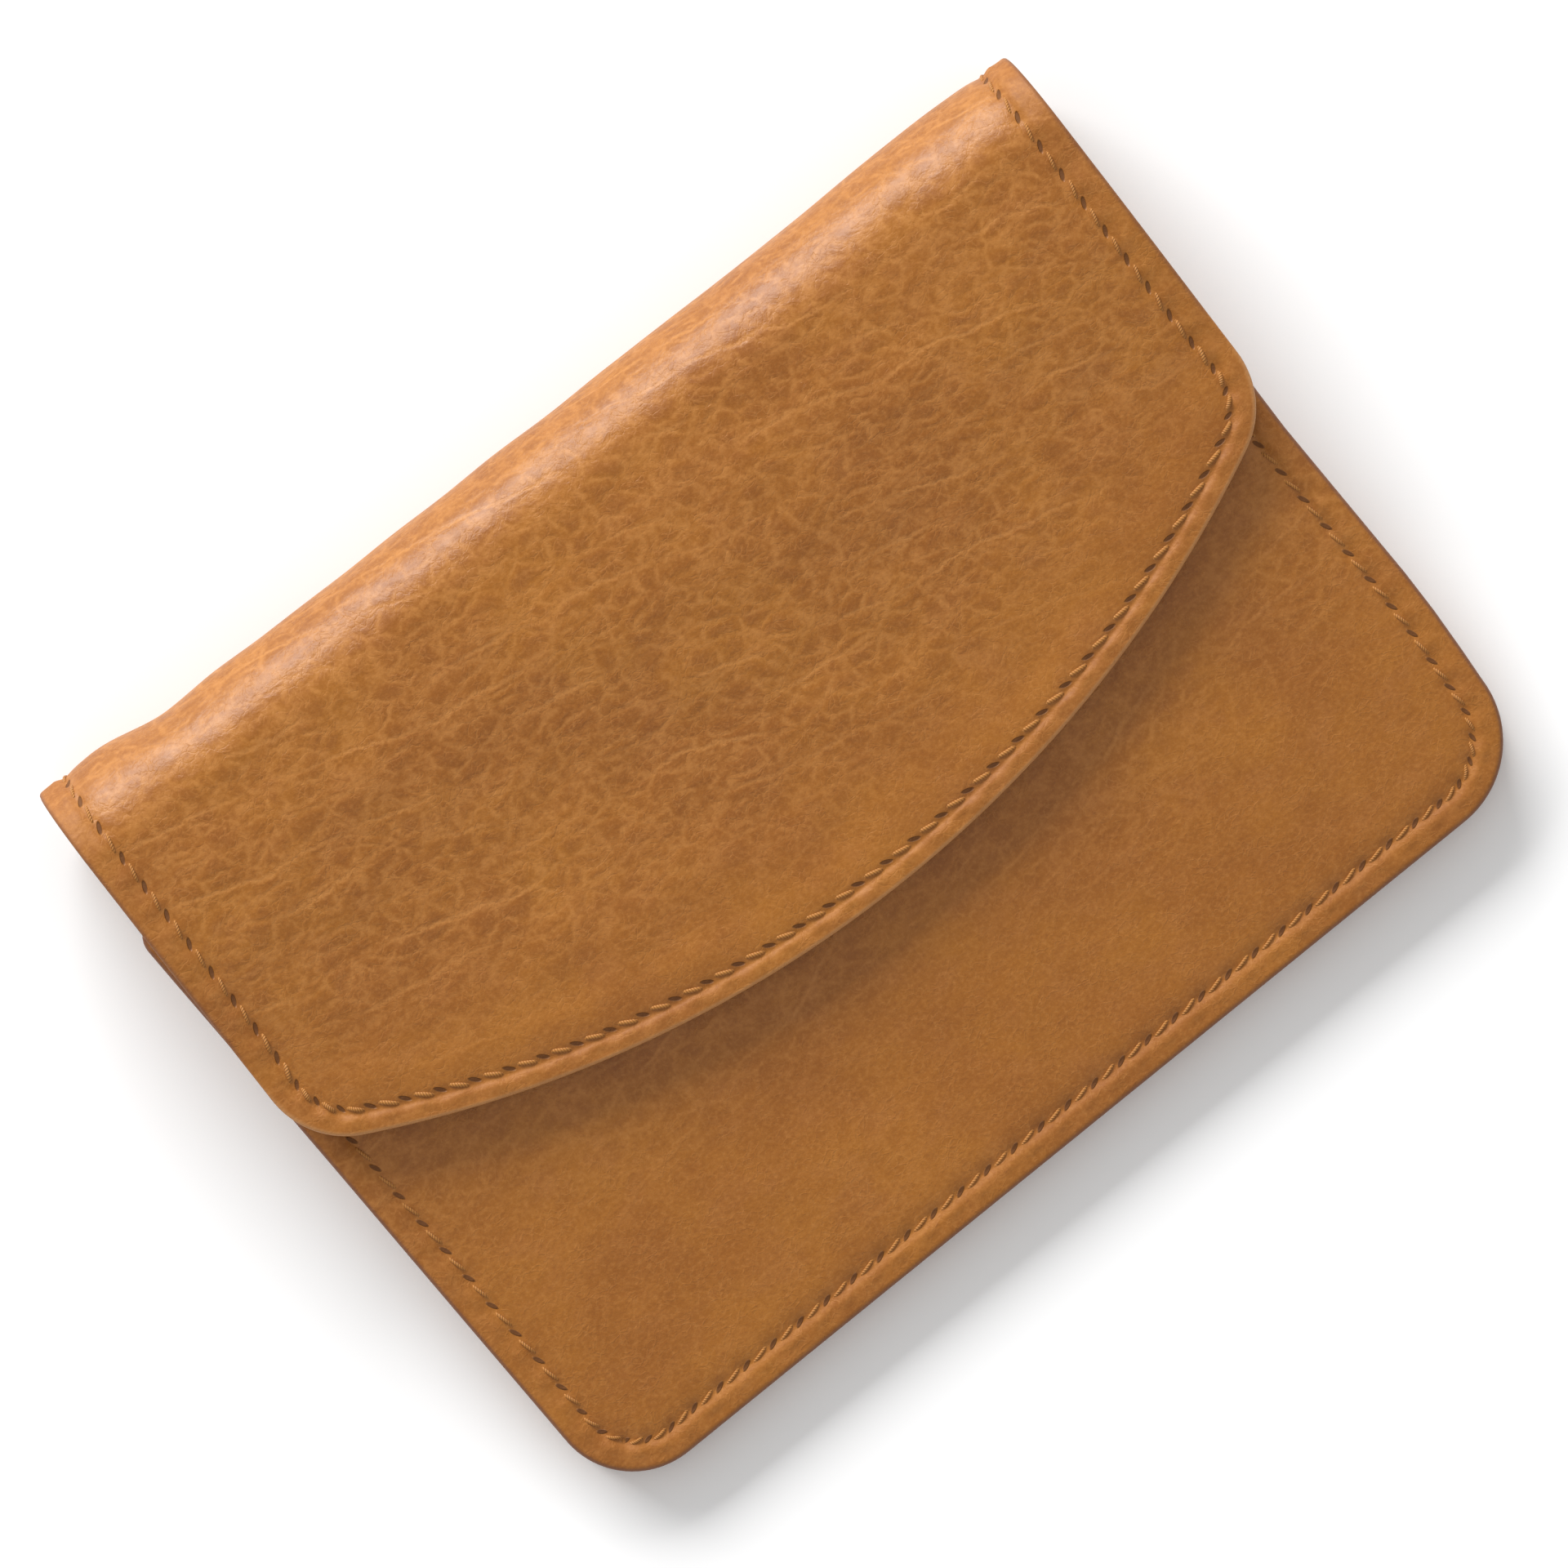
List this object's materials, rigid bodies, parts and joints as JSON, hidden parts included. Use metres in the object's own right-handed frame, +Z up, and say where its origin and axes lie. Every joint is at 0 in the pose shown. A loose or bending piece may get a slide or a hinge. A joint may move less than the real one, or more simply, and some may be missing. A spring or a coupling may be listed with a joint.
{
  "type": "card holder",
  "caption": "Slim leather card holder with a curved flap that folds over the front, sewn edges, folded side gussets and card pockets inside.",
  "frame": {"origin": "underside of the back panel, at the middle of the whole outline", "axes": "+X along the fold, +Y towards the fold, +Z up through the closed flap"},
  "size_m": [0.105, 0.0782, 0.015],
  "materials": {
    "outer_leather": "satin, softly pebbled grain",
    "gusset_leather": "satin",
    "lining_leather": "matt",
    "filler_board": "matt fibre board",
    "magnet": "nickel plated",
    "thread": "waxed thread"
  },
  "bodies": {
    "holder": {"back_panel": "outer_leather", "back_lining": "lining_leather", "front_panel": "outer_leather", "front_lining": "lining_leather", "gusset_left": "gusset_leather", "gusset_right": "gusset_leather", "card_pocket_rear": "lining_leather", "card_pocket_front": "lining_leather", "front_filler": "filler_board", "front_magnet": "magnet", "front_stitching": "thread", "back_stitching": "thread", "mouth_stitching": "thread", "pocket_stitching": "thread"},
    "fold_low": {"fold_lower": "outer_leather", "fold_lower_lining": "lining_leather", "fold_lower_stitching": "thread"},
    "fold_mid": {"fold_middle": "outer_leather", "fold_middle_lining": "lining_leather", "fold_middle_stitching": "thread"},
    "fold_high": {"fold_upper": "outer_leather", "fold_upper_lining": "lining_leather", "fold_upper_stitching": "thread"},
    "flap_body": {"flap": "outer_leather", "flap_lining": "lining_leather", "flap_filler": "filler_board", "flap_magnet": "magnet", "flap_stitching": "thread"}
  },
  "joints": [
    {"name": "flap_fold", "type": "hinge", "parent": "holder", "child": "fold_low", "pos_m": [0, 0.03447, 0.00099], "axis": [-1, 0, 0], "range_deg": [0, 46.76]},
    {"name": "flap_fold_2", "type": "hinge", "parent": "fold_low", "child": "fold_mid", "pos_m": [0, 0.03832, 0.00509], "axis": [-1, 0, 0], "range_deg": [0, 46.76]},
    {"name": "flap_fold_3", "type": "hinge", "parent": "fold_mid", "child": "fold_high", "pos_m": [0, 0.03798, 0.01071], "axis": [-1, 0, 0], "range_deg": [0, 46.76]},
    {"name": "flap_fold_4", "type": "hinge", "parent": "fold_high", "child": "flap_body", "pos_m": [0, 0.03365, 0.01431], "axis": [-1, 0, 0], "range_deg": [0, 46.76]}
  ],
  "couplings": [
    {"joint": "flap_fold_2", "follows": "flap_fold", "ratio": 1},
    {"joint": "flap_fold_3", "follows": "flap_fold", "ratio": 1},
    {"joint": "flap_fold_4", "follows": "flap_fold", "ratio": 1}
  ]
}
